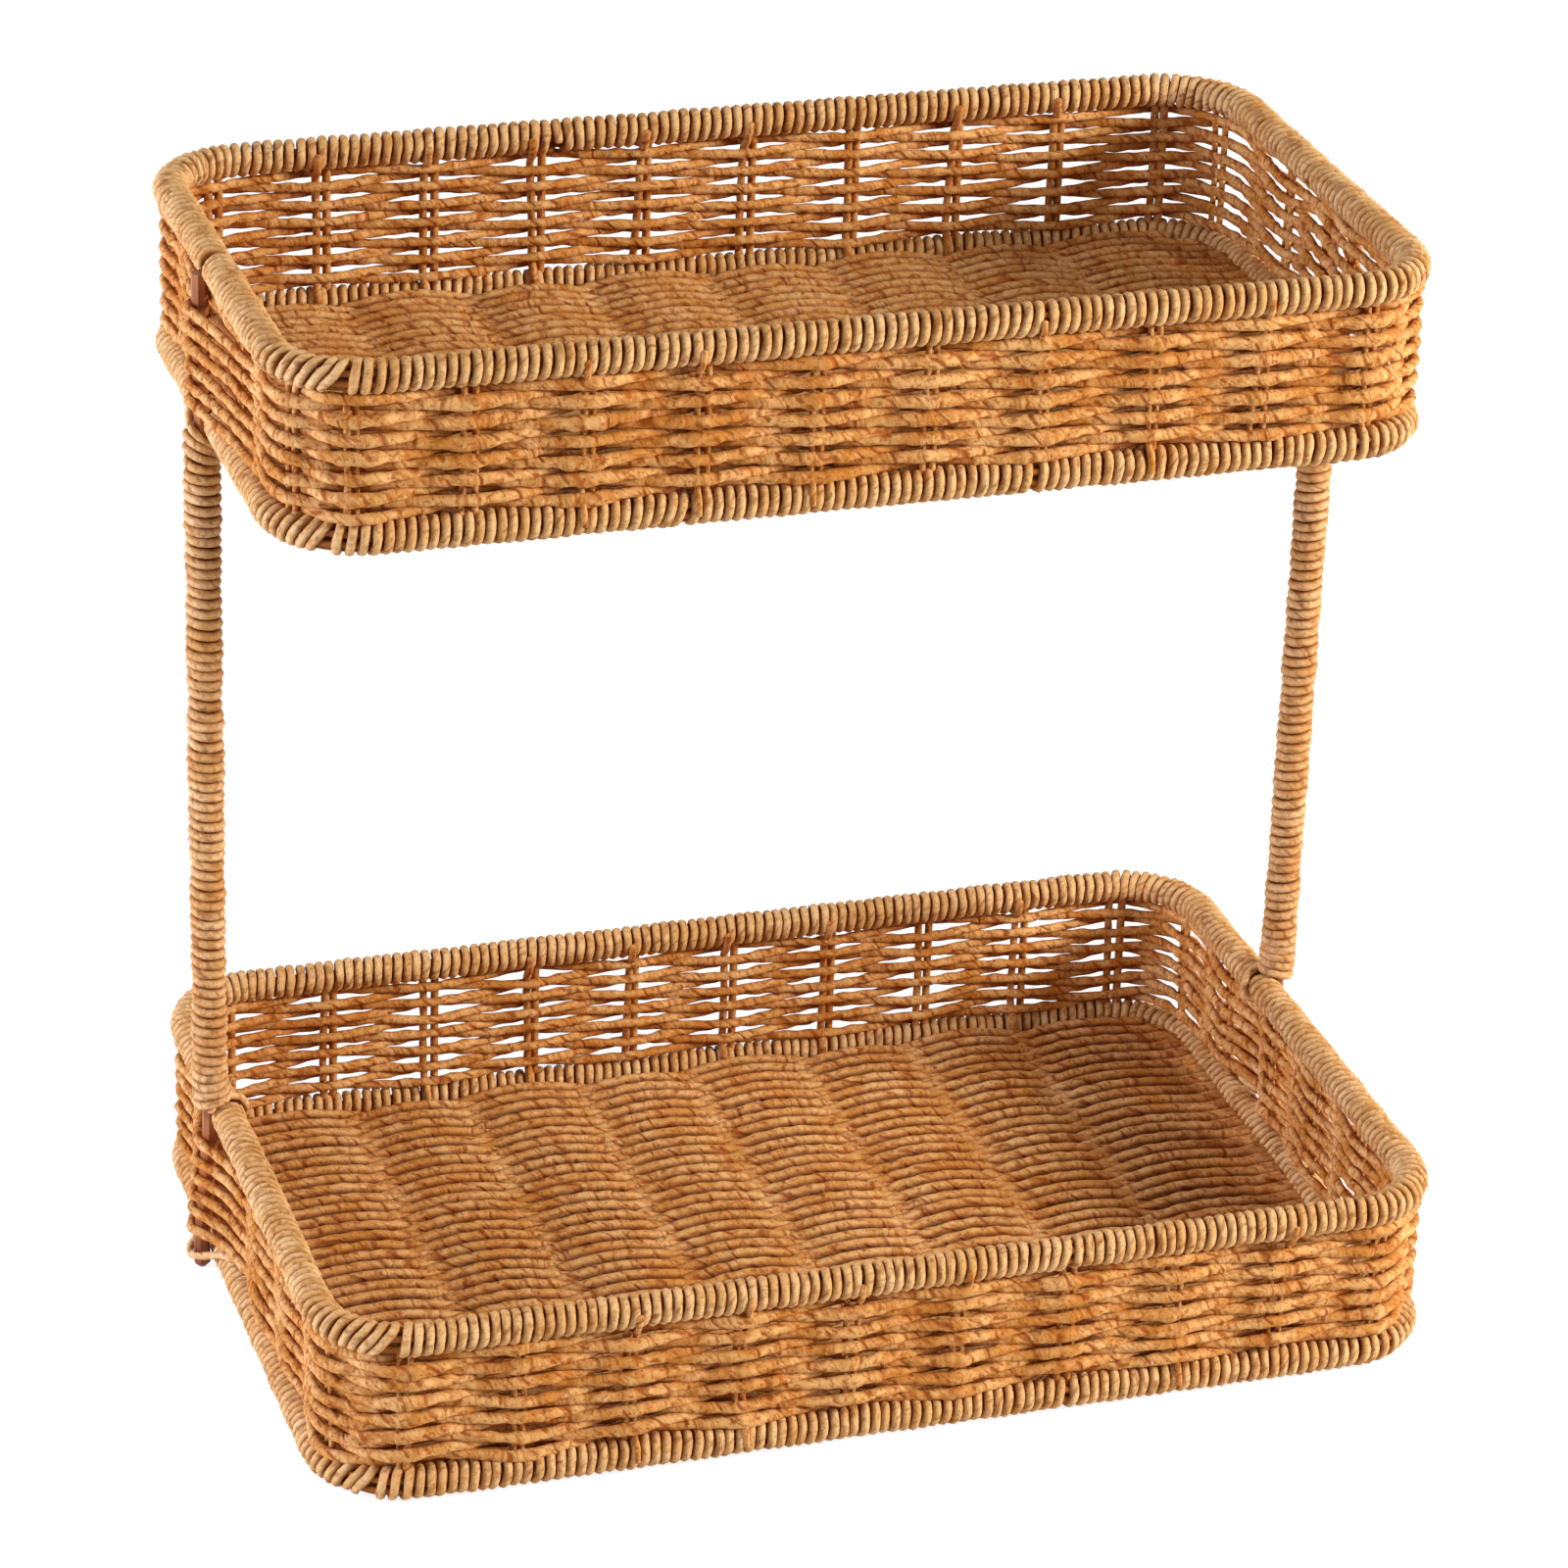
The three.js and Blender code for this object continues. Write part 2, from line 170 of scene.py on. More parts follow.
# Floors: cords over and under the ribs
FLOOR_PITCH = 3.6 * MM
FLOOR_REACH = 3.2 * MM
FLOOR_STEP = 2.2 * MM
FLOOR_SHIFT = 0.22 * MM
FLOOR_WAVE = 0.7 * MM
FLOOR_WAVE_RUN = 35 * MM
FLOOR_TUCK = 5 * MM

# Posts: the first turns drop, and flare out over the rim, and the last ones tilt
POST_PITCH = 3.88 * MM
POST_WANDER = 0.2 * MM
POST_SWELL = 0.25 * MM
POST_SWELL_RANGE = (-0.5 * MM, 0.35 * MM)
POST_TILT = 2.3 * MM
TILTED_TURNS = 3
POST_DROP = 5 * MM
DROPPED_TURNS = 5
FLARE_RISE = 9 * MM

# The cord that dips round a rod's foot
FOOT_ARM = 19 * MM
FOOT_DROP = 6 * MM
FOOT_START = 3 * MM
FOOT_POINTS = 24

# The end of a post's cord, over the slit: how far round the ring, and along it either way from the rod
SLIT_FROM, SLIT_ROUND = 30, 200
SLIT_BEFORE, SLIT_AFTER = 4.6 * MM, 3 * MM
SLIT_TUCK = 2.2 * MM
SLIT_POINTS = 20

# The tie at the upper base ring, in mm: along the ring, outward of its line, and up
TIE = (
    (-5.4, 4.5, 5.6), (-3.2, 9.0, 4.0), (0, 10.2, 1.0), (3.0, 8.8, -2.4), (4.8, 4.2, -6.4),
    (4.0, -3.5, -6.8), (1.0, -7.6, -1.0), (-2.5, -6.0, 5.0), (-5.0, -0.5, 7.7),
)
TIE_STEPS = 6

# Random draws: a seed for each tray and post, and for each piece of a tray
SEED = 20
TRAY_SEEDS = {"lower": 0, "upper": 100}
POST_SEEDS = {"left": 290, "right": 310}
PIECE_SEEDS = {
    "base": 0, "rim_back": 34, "rim_front": 35, "base_back": 44, "base_front": 45, "wall": 60, "floor": 70,
}

# A random phase, in radians, lies between 0 and this
PHASES = 6

# Camera: its angles in degrees, and its sensor and lens in mm
YAW = -18.24
PITCH = 25.80
ROLL = 1.93
DISTANCE = 2.1212
LOOK_AT = (-0.0056, -0.00325, 0.1894)
SENSOR = 36
LENS = 137.43

# The world's light on the object, of the strength 1 that the eye sees
WORLD_STRENGTH = 0.26
WHITE = (1, 1, 1, 1)

# Ground: the eye sees a glow and a grey that takes shadows, and light bounces off a pale paint
GROUND_GLOW = 0.88
GROUND_GREY = 0.25
GROUND_PAINT = 0.86
GROUND_HALF = 1.5
GROUND_DROP = 0.2 * MM

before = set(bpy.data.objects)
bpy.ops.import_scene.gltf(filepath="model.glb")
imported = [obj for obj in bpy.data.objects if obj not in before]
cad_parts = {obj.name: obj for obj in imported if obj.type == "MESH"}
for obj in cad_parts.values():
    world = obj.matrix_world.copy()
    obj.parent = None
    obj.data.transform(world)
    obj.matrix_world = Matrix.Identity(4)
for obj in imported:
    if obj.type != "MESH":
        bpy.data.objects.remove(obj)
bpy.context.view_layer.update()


# Lines that the trays follow


def edge(half, other_half, distance):
    """How far a tray's line lies from its middle along one axis, at a distance along the other."""
    inside = max(0, abs(distance) - (other_half - CORNER_RADIUS))
    return half - CORNER_RADIUS + math.sqrt(CORNER_RADIUS**2 - inside**2)


def faceted(half, other_half, distance):
    """The same for the wires' line, whose corners are a few straight runs."""
    angles = np.linspace(0, math.pi / 2, CORNER_FACETS + 1)
    inside = max(0, abs(distance) - (other_half - CORNER_RADIUS))
    reach = np.interp(inside, CORNER_RADIUS * np.sin(angles), CORNER_RADIUS * np.cos(angles))
    return half - CORNER_RADIUS + reach


class Tray:
    """A tray's rounded rectangle, measured from the right post by way of the back, and its heights."""

    def __init__(self, name):
        low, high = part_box(f"{name}_wire_frame")
        reach = RING_WIRE / 2 * math.cos(math.pi / WIRE_SIDES)
        self.name = name
        self.half_x = high.x - reach
        self.half_y = (high.y - low.y) / 2 - reach
        self.middle = (low.y + high.y) / 2
        self.base = low.z + RING_WIRE / 2
        self.rim = high.z - RING_WIRE / 2
        self.trace()
        self.left_post = self.station(-self.half_x, POST_Y)

    def trace(self):
        """The line's points, the way out at each of them, and their distances along it."""
        points, normals = [(self.half_x, POST_Y)], [(1, 0)]
        for quarter, (sx, sy) in enumerate(((1, 1), (-1, 1), (-1, -1), (1, -1))):
            x = sx * (self.half_x - CORNER_RADIUS)
            y = self.middle + sy * (self.half_y - CORNER_RADIUS)
            for angle in np.radians(90 * quarter + np.linspace(0, 90, CORNER_STEPS + 1)):
                normal = (math.cos(angle), math.sin(angle))
                points.append((x + CORNER_RADIUS * normal[0], y + CORNER_RADIUS * normal[1]))
                normals.append(normal)
        points.append(points[0])
        normals.append(normals[0])
        self.points, self.normals = np.array(points), np.array(normals)
        steps = np.linalg.norm(np.diff(self.points, axis=0), axis=1)
        self.stations = np.concatenate([[0], np.cumsum(steps)])
        self.length = self.stations[-1]

    def station(self, x, y):
        """Distance along the line to its place nearest a point."""
        start, span = self.points[:-1], np.diff(self.points, axis=0)
        squared = (span**2).sum(1)
        part = np.clip((((x, y) - start) * span).sum(1) / np.maximum(squared, TINY), 0, 1)
        gap = np.linalg.norm(start + span * part[:, None] - (x, y), axis=1)
        i = int(np.argmin(gap))
        return self.stations[i] + part[i] * math.sqrt(squared[i])

    def normal(self, s):
        """The way out at distances along the line."""
        s = np.mod(s, self.length)
        flat = np.stack([np.interp(s, self.stations, self.normals[:, i]) for i in (0, 1)], -1)
        flat /= np.linalg.norm(flat, axis=-1, keepdims=True)
        return np.concatenate([flat, np.zeros((*flat.shape[:-1], 1))], -1)

    def place(self, s, out, z):
        """Points at distances along the line, outward of it and above the ground."""
        wrapped = np.mod(s, self.length)
        x, y = (np.interp(wrapped, self.stations, self.points[:, i]) for i in (0, 1))
        on_line = np.stack([x, y, np.broadcast_to(z, x.shape)], -1)
        return on_line + self.normal(s) * np.broadcast_to(out, x.shape)[:, None]

    def post(self, side):
        """The station of the right post, for side 1, or the left one."""
        return 0.0 if side > 0 else self.left_post

    def on_long(self, x, side):
        """The station on the back, for side 1, or the front, at an x."""
        reach = edge(self.half_y, self.half_x, x)
        return self.station(x, self.middle + side * reach)

    def on_end(self, y, side):
        """The station on the right end, for side 1, or the left one, at a y from the tray's middle."""
        reach = edge(self.half_x, self.half_y, y)
        return self.station(side * reach, self.middle + y)

    def stakes(self):
        """Of each stake: its station, its wire's place, its second leg's side, and the way it faces."""
        found = []
        run = STAKE_INSET - self.half_x
        for x in np.linspace(run, -run, STAKE_COUNT):
            for side in (1, -1):
                y = self.middle + side * faceted(self.half_y, self.half_x, x)
                found.append((self.on_long(x, side), (x, y), LEG_SIDES[self.name][side], -side))
        run = END_INSETS[self.name] - self.half_y
        for y in np.linspace(run, -run, END_STAKES[self.name]):
            for side in (1, -1):
                x = side * faceted(self.half_x, self.half_y, y)
                found.append((self.on_end(y, side), (x, self.middle + y), 1, 1))
        return sorted(found)


def middle_of(node):
    low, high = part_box(node)
    return (low + high) / 2


POST_X = middle_of("right_post_wrap").x
POST_Y = middle_of("right_post_wrap").y
RIBS = sorted(middle_of(name).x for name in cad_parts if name.startswith("lower_floor_rib"))
lower, upper = Tray("lower"), Tray("upper")
POST_OUT = POST_X - lower.half_x
FOOT_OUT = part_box("right_post_rod")[1].x - lower.half_x - POST_ROD / 2 * math.cos(math.pi / ROD_SIDES)


def rod_out(z):
    """How far a post's rod stands outside the rings' line: it leans out to pass the lower base ring."""
    low, high = lower.base + WRAP_REACH, lower.rim - WRAP_REACH
    return POST_OUT + (FOOT_OUT - POST_OUT) * np.clip((high - z) / (high - low), 0, 1)


# Curves


def ramp(value, low, high):
    """0 below low, 1 above high, smooth between."""
    part = np.clip((value - low) / (high - low), 0, 1)
    return part * part * (3 - 2 * part)


def eased(s, knots, values, length, straight=0.0):
    """Values at knots round a closed line, joined by half waves, or partly by straight runs."""
    after = np.searchsorted(knots, s, side="right") % len(knots)
    before = after - 1
    start = knots[before]
    gap = np.mod(knots[after] - start, length)
    part = np.mod(s - start, length) / gap
    straight = np.broadcast_to(straight, len(knots))[before]
    weight = straight * part + (1 - straight) * (1 - np.cos(math.pi * part)) / 2
    return values[before] * (1 - weight) + values[after] * weight


def smooth_between(x, knots, values):
    """The same by half waves along an open line."""
    after = np.searchsorted(knots, x, side="right").clip(1, len(knots) - 1)
    part = (x - knots[after - 1]) / (knots[after] - knots[after - 1])
    weight = (1 - np.cos(math.pi * part)) / 2
    return values[after - 1] * (1 - weight) + values[after] * weight


def wander(s, length, rng, size, waves):
    """Slow noise round a closed line, from every second number of waves in a range."""
    total = np.zeros_like(s)
    orders = range(*waves, 2)
    for order in orders:
        total += rng.normal() * np.cos(2 * math.pi * (order * s / length + rng.random()))
    return total * size / math.sqrt(len(orders) / 2)


def rounded_off(values):
    """Takes the sharpness off the bends of a closed line."""
    for _ in range(2):
        values = (np.roll(values, 1) + 2 * values + np.roll(values, -1)) / 4
    return values


def rounded_loop(corners, steps):
    """A smooth closed curve through its corners."""
    t = np.arange(steps)[None, :, None] / steps
    a, b, c, d = (np.roll(corners, shift, 0)[:, None] for shift in (1, 0, -1, -2))
    curve = 2 * b + (c - a) * t + (2 * a - 5 * b + 4 * c - d) * t**2 + (3 * b - a - 3 * c + d) * t**3
    return (curve / 2).reshape(-1, corners.shape[1])


# Strands


def shade_between_turns(angle, lie):
    """Painted shade for turns that lie side by side, on the flanks and the inside, which lie hidden."""
    return ramp(np.cos(angle) * lie, -0.95, -0.3)


def shade_in_wall(angle, lie):
    """Painted shade, for strands passing in and out: what faces out where the strand is in, and the
    reverse.

    Above and below, where the next strands lie, a little shade is painted too.
    """
    facing = np.sin(angle) * lie
    return ramp(-facing, 0.1, 0.9) + 0.25 * ramp(np.abs(np.cos(angle)), 0.6, 1)


def shade_in_floor(angle, lie):
    """Painted shade for cords passing over and under: the flanks, and what faces up where the cord is down.
    """
    facing = -np.cos(angle) * lie
    return np.maximum(0.8 * ramp(np.abs(np.sin(angle)), 0.75, 1), ramp(-facing, 0.2, 1))


def directions(points, outward, closed):
    """Square to a strand at each point: the direction nearest outward, and the one across it."""
    tangent = np.roll(points, -1, 0) - np.roll(points, 1, 0) if closed else np.gradient(points, axis=0)
    tangent /= np.linalg.norm(tangent, axis=1, keepdims=True)
    normal = outward - (outward * tangent).sum(1, keepdims=True) * tangent
    normal /= np.linalg.norm(normal, axis=1, keepdims=True)
    return normal, np.cross(tangent, normal)


def round_ends(points, outward, radius):
    """Adds a shoulder and a tip at each end of a strand."""
    first, last = points[0] - points[1], points[-1] - points[-2]
    first, last = (v / np.linalg.norm(v) for v in (first, last))
    points = np.vstack([
        *(points[0] + first * radius[0] * place for place in reversed(END_PLACES)), points,
        *(points[-1] + last * radius[-1] * place for place in END_PLACES),
    ])
    outward = np.vstack([outward[:1], outward[:1], outward, outward[-1:], outward[-1:]])
    widths = np.array(END_WIDTHS)
    radius = np.concatenate([radius[0] * widths[::-1], radius, radius[-1] * widths])
    return points, outward, radius


class Tubes:
    """Gathers round strands of cord and makes one mesh of them.

    Its map "Strand" runs round a strand from 0 to 1 and along it in centimetres. Its map "OFBake" lays
    all the strands side by side in rows. The value "tint" differs from strand to strand; a second value is
    1 where a surface lies hidden from light between its neighbours, and the material paints shade there.
    """

    def __init__(self, seed):
        self.rng = np.random.default_rng([SEED, seed])
        self.vertices, self.quads, self.caps = [], [], []
        self.turns, self.spans, self.tints, self.shade_masks = [], [], [], []
        self.cap_places = []
        self.count = 0
        self.run = 0.0

    def add(
        self, points, outward, radius, tint=None, closed=False, deep=shade_between_turns, lie=1.0, plain=False,
        pressed=1.0, tall=1.0,
    ):
        """A strand along points; its seam lies away from outward. Open ends are rounded off.

        The painted shade is given as how hidden the surface is: a number, or a function of the angle round
        the strand and of how it lies. A plain strand shows no twist. A strand pressed against its
        neighbours has flatter sides, for powers below 1; tall stretches it along outward.
        """
        radius = np.broadcast_to(radius, len(points)).copy()
        tint = np.broadcast_to(self.rng.random() if tint is None else tint, len(points))
        lie, tall = (np.broadcast_to(values, len(points)) for values in (lie, tall))
        if not closed:
            points, outward, radius = round_ends(points, outward, radius)
            added = len(END_PLACES)
            tint, lie, tall = (np.pad(values, added, mode="edge") for values in (tint, lie, tall))
        count = len(points)
        normal, across = directions(points, outward, closed)
        loop = np.vstack([points, points[:1]]) if closed else points
        along = np.concatenate([[0], np.cumsum(np.linalg.norm(np.diff(loop, axis=0), axis=1))])
        depth = 0 if plain else TWIST_DEPTH
        reach = radius[:, None] * (1 + depth * self.lobes(along, count))
        cos, sin = (
            (np.sign(part) * np.abs(part) ** pressed)[None, :, None]
            for part in (np.cos(ANGLES), np.sin(ANGLES))
        )
        ring = sin * across[:, None] - cos * (normal * tall[:, None])[:, None]
        self.vertices.append((points[:, None] + reach[:, :, None] * ring).reshape(-1, 3))
        self.tints.append(np.repeat(tint, SIDES))
        # Painted shade: how far each vertex lies hidden from light, for the material to darken it
        hidden = deep(ANGLES[None], lie[:, None]) if callable(deep) else deep
        self.shade_masks.append(np.broadcast_to(hidden, (count, SIDES)).ravel())
        self.skin(count, along, closed, radius.max())
        self.count += count * SIDES

    def lobes(self, along, count):
        """How far a twisted strand stands out or in, round it and along it: by one wave and by two."""
        length = along[-1]
        turn = (max(1, round(length / TWIST_LENGTH)) * 2 * math.pi * along[:count] / length)[:, None]
        start = self.rng.random(2) * 2 * math.pi
        return np.cos(2 * ANGLES - turn + start[0]) + np.cos(ANGLES - turn + start[1])

    def skin(self, count, along, closed, radius):
        """The strand's faces, and where each lies on the maps."""
        rows = np.arange(count if closed else count - 1)
        columns = np.arange(SIDES)
        here = self.count + rows[:, None] * SIDES
        ahead = self.count + ((rows + 1) % count)[:, None] * SIDES
        turned = (columns + 1) % SIDES
        quads = np.stack([here + columns, ahead + columns, ahead + turned, here + turned], -1)
        self.quads.append(quads.reshape(-1, 4))
        self.turns.append(np.tile(columns, len(rows)))
        map_start = self.rng.random() * MAP_STARTS
        self.spans.append(np.stack([
            np.repeat(along[rows], SIDES), np.repeat(along[rows + 1], SIDES),
            np.full(len(rows) * SIDES, self.run), np.full(len(rows) * SIDES, map_start),
        ], -1))
        room = 0.0
        if not closed:
            room = 2 * radius
            last = self.count + (count - 1) * SIDES
            self.caps.append([self.count + i for i in range(SIDES)])
            self.caps.append([last + i for i in reversed(range(SIDES))])
            middle = self.run + along[-1] + room / 2
            self.cap_places += [(middle, radius / 3, 0), (middle, radius / 3, 1)]
        self.run += along[-1] + room

    def round_and_along(self):
        """Of each quad: how far round the strand each corner lies, and the quad's runs along it."""
        turns, spans = np.concatenate(self.turns), np.concatenate(self.spans)
        return np.stack([turns, turns, turns + 1, turns + 1], -1) / SIDES, spans

    def strand_map(self):
        """Round each strand from 0 to 1, and along it in centimetres."""
        around, spans = self.round_and_along()
        along = spans[:, [0, 1, 1, 0]] / CENTIMETRE + spans[:, 3:4]
        flat = [np.stack([around, along], -1).reshape(-1, 2)]
        flat += [np.full((SIDES, 2), 0.5) for _ in self.caps]
        return np.concatenate(flat)

    def bake_map(self, girth):
        """Every strand in rows of one square, each face in a place of its own.

        A row is a little taller than a strand's girth, and the ends of a strand lie beside it.
        """
        around, spans = self.round_and_along()
        tall = 1.15 * girth
        margin = 0.07 * girth
        row = math.sqrt(self.run * tall) * 1.01
        start, step = spans[:, 0] + spans[:, 2], spans[:, 1] - spans[:, 0]
        longest = step.max() + 4 * girth / math.pi
        rows = math.floor(self.run / row) + 1
        line = np.floor(start / row)
        x = start - line * row
        across = np.stack([x, x + step, x + step, x], -1)
        up = around * girth + (line * tall + margin)[:, None]
        scale = np.array([row + longest, rows * tall])
        flat = [np.stack([across, up], -1).reshape(-1, 2) / scale]
        disc = np.stack([np.cos(ANGLES), np.sin(ANGLES)], -1)
        for middle, reach, side in self.cap_places:
            line = math.floor(middle / row)
            at = (middle - line * row, line * tall + (0.3 + 0.4 * side) * girth)
            flat.append((disc * reach + at) / scale)
        return np.concatenate(flat)

    def finish(self, name, material, slot, girth, *nodes):
        """Makes the mesh, as a piece that stands for nodes of the frame."""
        mesh = bpy.data.meshes.new(name)
        faces = np.concatenate(self.quads).tolist() + self.caps
        mesh.from_pydata(np.concatenate(self.vertices).tolist(), [], faces)
        for layer, values in (("OFBake", self.bake_map(girth)), ("Strand", self.strand_map())):
            uv = mesh.uv_layers.new(name=layer)
            uv.data.foreach_set("uv", values.astype(np.float32).ravel())
        for layer, values in (("tint", self.tints), ("deep", self.shade_masks)):
            attribute = mesh.attributes.new(layer, "FLOAT", "POINT")
            attribute.data.foreach_set("value", np.concatenate(values).astype(np.float32))
        mesh.polygons.foreach_set("use_smooth", [True] * len(faces))
        mesh.materials.append(material)
        mesh.update()
        piece = bpy.data.objects.new(name, mesh)
        bpy.context.scene.collection.objects.link(piece)
        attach(piece, "root")
        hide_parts(*nodes)


# Windings


def beside_rod(s, angle, rod, nearest):
    """Moves the outer part of turns along a ring: the nearest turn then lies against the rod."""
    away = np.abs(s - rod)
    moved = ROD_CLEARANCE + (away - nearest) * (SQUEEZE_LENGTH - ROD_CLEARANCE) / (SQUEEZE_LENGTH - nearest)
    weight = ramp(np.cos(angle), -0.2, 0.6) * (away < SQUEEZE_LENGTH)
    return s + np.sign(s - rod) * (moved - away) * weight


def winding(tubes, tray, level, start, end, pitch, lean, rods):
    """A cord wound on a ring; its first and last turns cross the outside at start and end.

    It comes to lean towards the end: ahead over the top of the ring and behind under it.
    """
    rng = tubes.rng
    turns = max(1, round((end - start) / pitch))
    t = np.linspace(-LEAD_IN, turns + LEAD_OUT, round((turns + LEAD_IN + LEAD_OUT) * TURN_POINTS) + 1)
    beat = np.arange(-1, turns + 2)
    drift = np.interp(t, beat, rng.normal(0, TURN_WANDER, len(beat)))
    swells = rng.normal(0, TURN_SWELL, len(beat))
    swell = np.interp(t, beat, swells).clip(-2 * TURN_SWELL, TURN_SWELL)
    s = start + (end - start) * t / turns + drift
    angle = 2 * math.pi * t
    s = s + lean * np.exp(-(((end - s) / LEAN_LENGTH) ** 2)) * np.sin(angle)
    for rod, nearest in rods:
        s = beside_rod(s, angle, rod, nearest)
    reach = WRAP_REACH - WRAP_CORD / 2 + swell
    points, outward = round_ring(tray, level, s, angle, reach)
    tint = np.interp(t, beat, rng.random(len(beat)))
    tubes.add(points, outward, WRAP_CORD / 2, tint, pressed=PRESSED)


def round_ring(tray, level, s, angle, reach):
    """Points at angles round a ring, from its outside over its top, and their directions away from it."""
    points = tray.place(s, reach * np.cos(angle), level + reach * np.sin(angle))
    outward = tray.normal(s) * np.cos(angle)[:, None] + UP * np.sin(angle)[:, None]
    return points, outward


def tails(tubes, tray, level, at):
    """The cords' ends that run along a ring under its winding, seen where it is parted."""
    s = np.linspace(at - TAIL_LENGTH / 2, at + TAIL_LENGTH / 2, TAIL_POINTS)
    reach = (RING_WIRE + TAIL_CORD) / 2
    for angle in np.radians(TAIL_ANGLES):
        points, outward = round_ring(tray, level, s, np.full(TAIL_POINTS, angle), reach)
        # Painted shade: the cord ends are coloured as lying wholly in shade
        tubes.add(points, outward, TAIL_CORD / 2, TAIL_TINT, deep=1)


def wind_ring(tray, which, half, start, end, rods=()):
    """A ring's winding between two stations, in runs from break to break."""
    tubes = Tubes(TRAY_SEEDS[tray.name] + PIECE_SEEDS[which + half])
    key = f"{tray.name}_{which}"
    level = tray.rim if which == "rim" else tray.base
    breaks = [
        (tray.on_long(x * MM, side), gap * MM, lean * MM)
        for side, places in ((-1, FRONT_BREAKS[key]), (1, BACK_BREAKS[key]))
        for x, gap, lean in places
    ]
    first = start + WRAP_CORD / 2
    for at, gap, lean in sorted(b for b in breaks if start < b[0] < end):
        last = at - gap / 2 - WRAP_CORD / 2 - LEAN_ROOM * lean
        winding(tubes, tray, level, first, last, WRAP_PITCH[key], lean, rods)
        tails(tubes, tray, level, at)
        first = at + gap / 2 + WRAP_CORD / 2
    winding(tubes, tray, level, first, end - WRAP_CORD / 2, WRAP_PITCH[key], 0, rods)
    tubes.finish(f"{key}_winding{half}", wrap_paper, "wrap_cord", math.pi * WRAP_CORD, f"{key}_wrap{half}")


def wind_rings(tray):
    """The windings of the rim and the base ring, in two halves where the rods part them."""
    for which in ("rim", "base"):
        key = f"{tray.name}_{which}"
        if key not in SLITS:
            wind_ring(tray, which, "", 0, tray.length)
            continue
        left, right = (slit / 2 for slit in SLITS[key])
        left_rod = (tray.left_post, left + WRAP_CORD / 2)
        for half, start, end, at in (
            ("_back", right, tray.left_post - left, 0),
            ("_front", tray.left_post + left, tray.length - right, tray.length),
        ):
            right_rod = (at, right + WRAP_CORD / 2)
            wind_ring(tray, which, half, start, end, (left_rod, right_rod))


# Walls


def wall_knots(tray, stakes):
    """The stations of a wall's stakes and rods in order, and which of them are rods."""
    centres = np.array([at + side * LEG_SPREAD / 2 for at, _, side, _ in stakes])
    rods = np.array([tray.post(side) for side in (1, -1)])
    knots = np.sort(np.concatenate([centres, rods]))
    return knots, np.isin(knots, rods)


def crossings(tray, is_post, k):
    """Of strand k at each stake and rod: 1 where it passes outside, -1 where it passes inside.

    At a rod it goes as at the stake in front of it, except for strands at the top that stay inside.
    """
    counts = COUNTS_POSTS[tray.name]
    places = np.cumsum(~is_post | counts)
    side = np.where((places + k) % 2 == 0, 1, -1) * (1 if counts else -1)
    left_post = int(np.flatnonzero(is_post)[1])
    for post, in_front in ((0, -1), (left_post, left_post + 1)):
        side[post] = side[in_front] if k < STRANDS - TOP_INSIDE[tray.name] else -1
    return side


def swing(part):
    """How much of the shared waves a strand takes: most of it low in the wall, and none near the top."""
    return math.sin(math.pi * min(1, part + 0.15)) ** 0.5


def weave_wall(tray):
    """A wall's strands, from the lowest up, and the legs of its stakes."""
    tubes = Tubes(TRAY_SEEDS[tray.name] + PIECE_SEEDS["wall"])
    rng = tubes.rng
    stakes = tray.stakes()
    knots, is_post = wall_knots(tray, stakes)
    straight = np.where(is_post | np.roll(is_post, -1), STRAIGHT_AT_POST, STRAIGHT)
    middles = np.mod(knots + np.mod(np.roll(knots, -1) - knots, tray.length) / 2, tray.length)
    both = np.concatenate([knots, middles])
    order = np.argsort(both)
    count = round(tray.length / WALL_STEP)
    s = np.arange(count) * tray.length / count
    up = np.tile(UP, (count, 1))
    front = ramp(-tray.normal(s)[:, 1], 0, FRONT_FACING)
    low_wave, high_wave = (
        wander(s, tray.length, rng, WALL_WAVE[tray.name], WALL_WAVES) for _ in range(2)
    )
    for k in range(STRANDS):
        height = FIRST_STRAND + k * STRAND_PITCH
        side = crossings(tray, is_post, k)

        # In and out
        at_rod = rod_out(tray.base + height) + side * (POST_ROD + WEAVE_CORD) / 2
        reach = np.where(is_post, at_rod, side * WALL_REACH)
        out = rounded_off(eased(s, knots, reach, tray.length, straight))
        lie = eased(s, knots, side.astype(float), tray.length)

        # Up and down
        part = k / (STRANDS - 1)
        shift = np.concatenate([
            rng.normal(0, CREST_SHIFT[tray.name], len(knots)).clip(-MOST_SHIFT, MOST_SHIFT),
            rng.normal(0, MIDDLE_SHIFT, len(knots)),
        ])
        z = tray.base + height + swing(part) * (low_wave * (1 - part) + high_wave * part)
        z = z + eased(s, both[order], shift[order], tray.length)

        # Thickness, as a share of the cord's, tint, and height where it passes outside on the front
        girth = 1 + FRONT_THICKER * front + wander(s, tray.length, rng, GIRTH_SPREAD, GIRTH_WAVES)
        tint = MEAN_TINT + wander(s, tray.length, rng, TINT_SPREAD, TINT_WAVES)
        spread = eased(s, knots, rng.uniform(*FRONT_SPREAD, len(knots)), tray.length)
        tall = 1 + spread * front * np.clip(lie, 0, 1) ** 3
        tubes.add(
            tray.place(s, out, z), up, WEAVE_CORD / 2 * girth, tint, closed=True, deep=shade_in_wall,
            lie=lie, tall=tall,
        )
    for stake in stakes:
        stake_legs(tubes, tray, *stake)
    name = f"{tray.name}_wall"
    tubes.finish(f"{name}_strands", wall_paper, "wall_cord", math.pi * WEAVE_CORD, f"{name}_weave")


